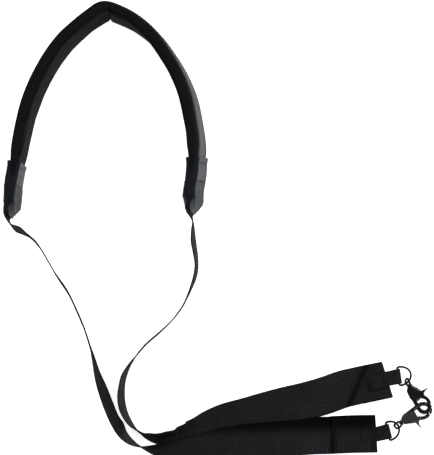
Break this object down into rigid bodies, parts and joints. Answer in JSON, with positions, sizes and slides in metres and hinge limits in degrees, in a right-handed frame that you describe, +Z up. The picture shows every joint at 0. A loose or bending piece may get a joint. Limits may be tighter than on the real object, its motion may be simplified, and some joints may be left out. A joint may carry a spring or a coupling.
{
  "type": "padded shoulder strap",
  "caption": "Padded shoulder strap lying on its edge: arched foam pad with sewn tabs, flat webbing ends, D-rings and clipped swivel trigger hooks.",
  "frame": {"origin": "bottom centre of the bounding box, on the floor that the strap lies on", "axes": "+Z up from the floor, +Y from the flat webbing ends toward the top of the pad's arch, +X toward the hooks' end"},
  "size_m": [0.4276, 0.4676, 0.057],
  "materials": {
    "foam": "matt knit cover",
    "webbing": "ribbed webbing",
    "pad_webbing": "worn ribbed webbing",
    "tab": "satin grained",
    "steel": "satin black"
  },
  "bodies": {
    "base": {"pad": "foam", "pad_webbing": "pad_webbing", "tab_left": "tab", "tab_right": "tab", "strap_left": "webbing", "strap_right": "webbing", "ring_loop_left": "webbing", "ring_loop_right": "webbing", "d_ring_left": "steel", "d_ring_right": "steel", "swivel_eye_left": "steel", "swivel_eye_right": "steel"},
    "hook_right": {"hook_body_right": "steel", "gate_rivet_right": "steel"},
    "gate_right": {"hook_gate_right": "steel"},
    "hook_left": {"hook_body_left": "steel", "gate_rivet_left": "steel"},
    "gate_left": {"hook_gate_left": "steel"}
  },
  "joints": [
    {"name": "swivel_right", "type": "hinge", "parent": "base", "child": "hook_right", "pos_m": [0.18895, -0.15202, 0.00478], "axis": [0.4753, -0.8791, 0.0353], "range_deg": [0, 5]},
    {"name": "gate_pivot_right", "type": "hinge", "parent": "hook_right", "child": "gate_right", "pos_m": [0.19829, -0.1619, 0.00694], "axis": [-0.398, -0.179, 0.8998], "range_deg": [-3, 0], "stiffness_Nm_per_rad": 0.02, "springref_deg": 17.19},
    {"name": "swivel_left", "type": "hinge", "parent": "base", "child": "hook_left", "pos_m": [0.17933, -0.19553, 0.00714], "axis": [0.809, 0.5878, -0.0035], "range_deg": [-2, 0]},
    {"name": "gate_pivot_left", "type": "hinge", "parent": "hook_left", "child": "gate_left", "pos_m": [0.19215, -0.19073, 0.00571], "axis": [-0.2104, 0.284, -0.9354], "range_deg": [-3, 0], "stiffness_Nm_per_rad": 0.02, "springref_deg": 17.19}
  ]
}
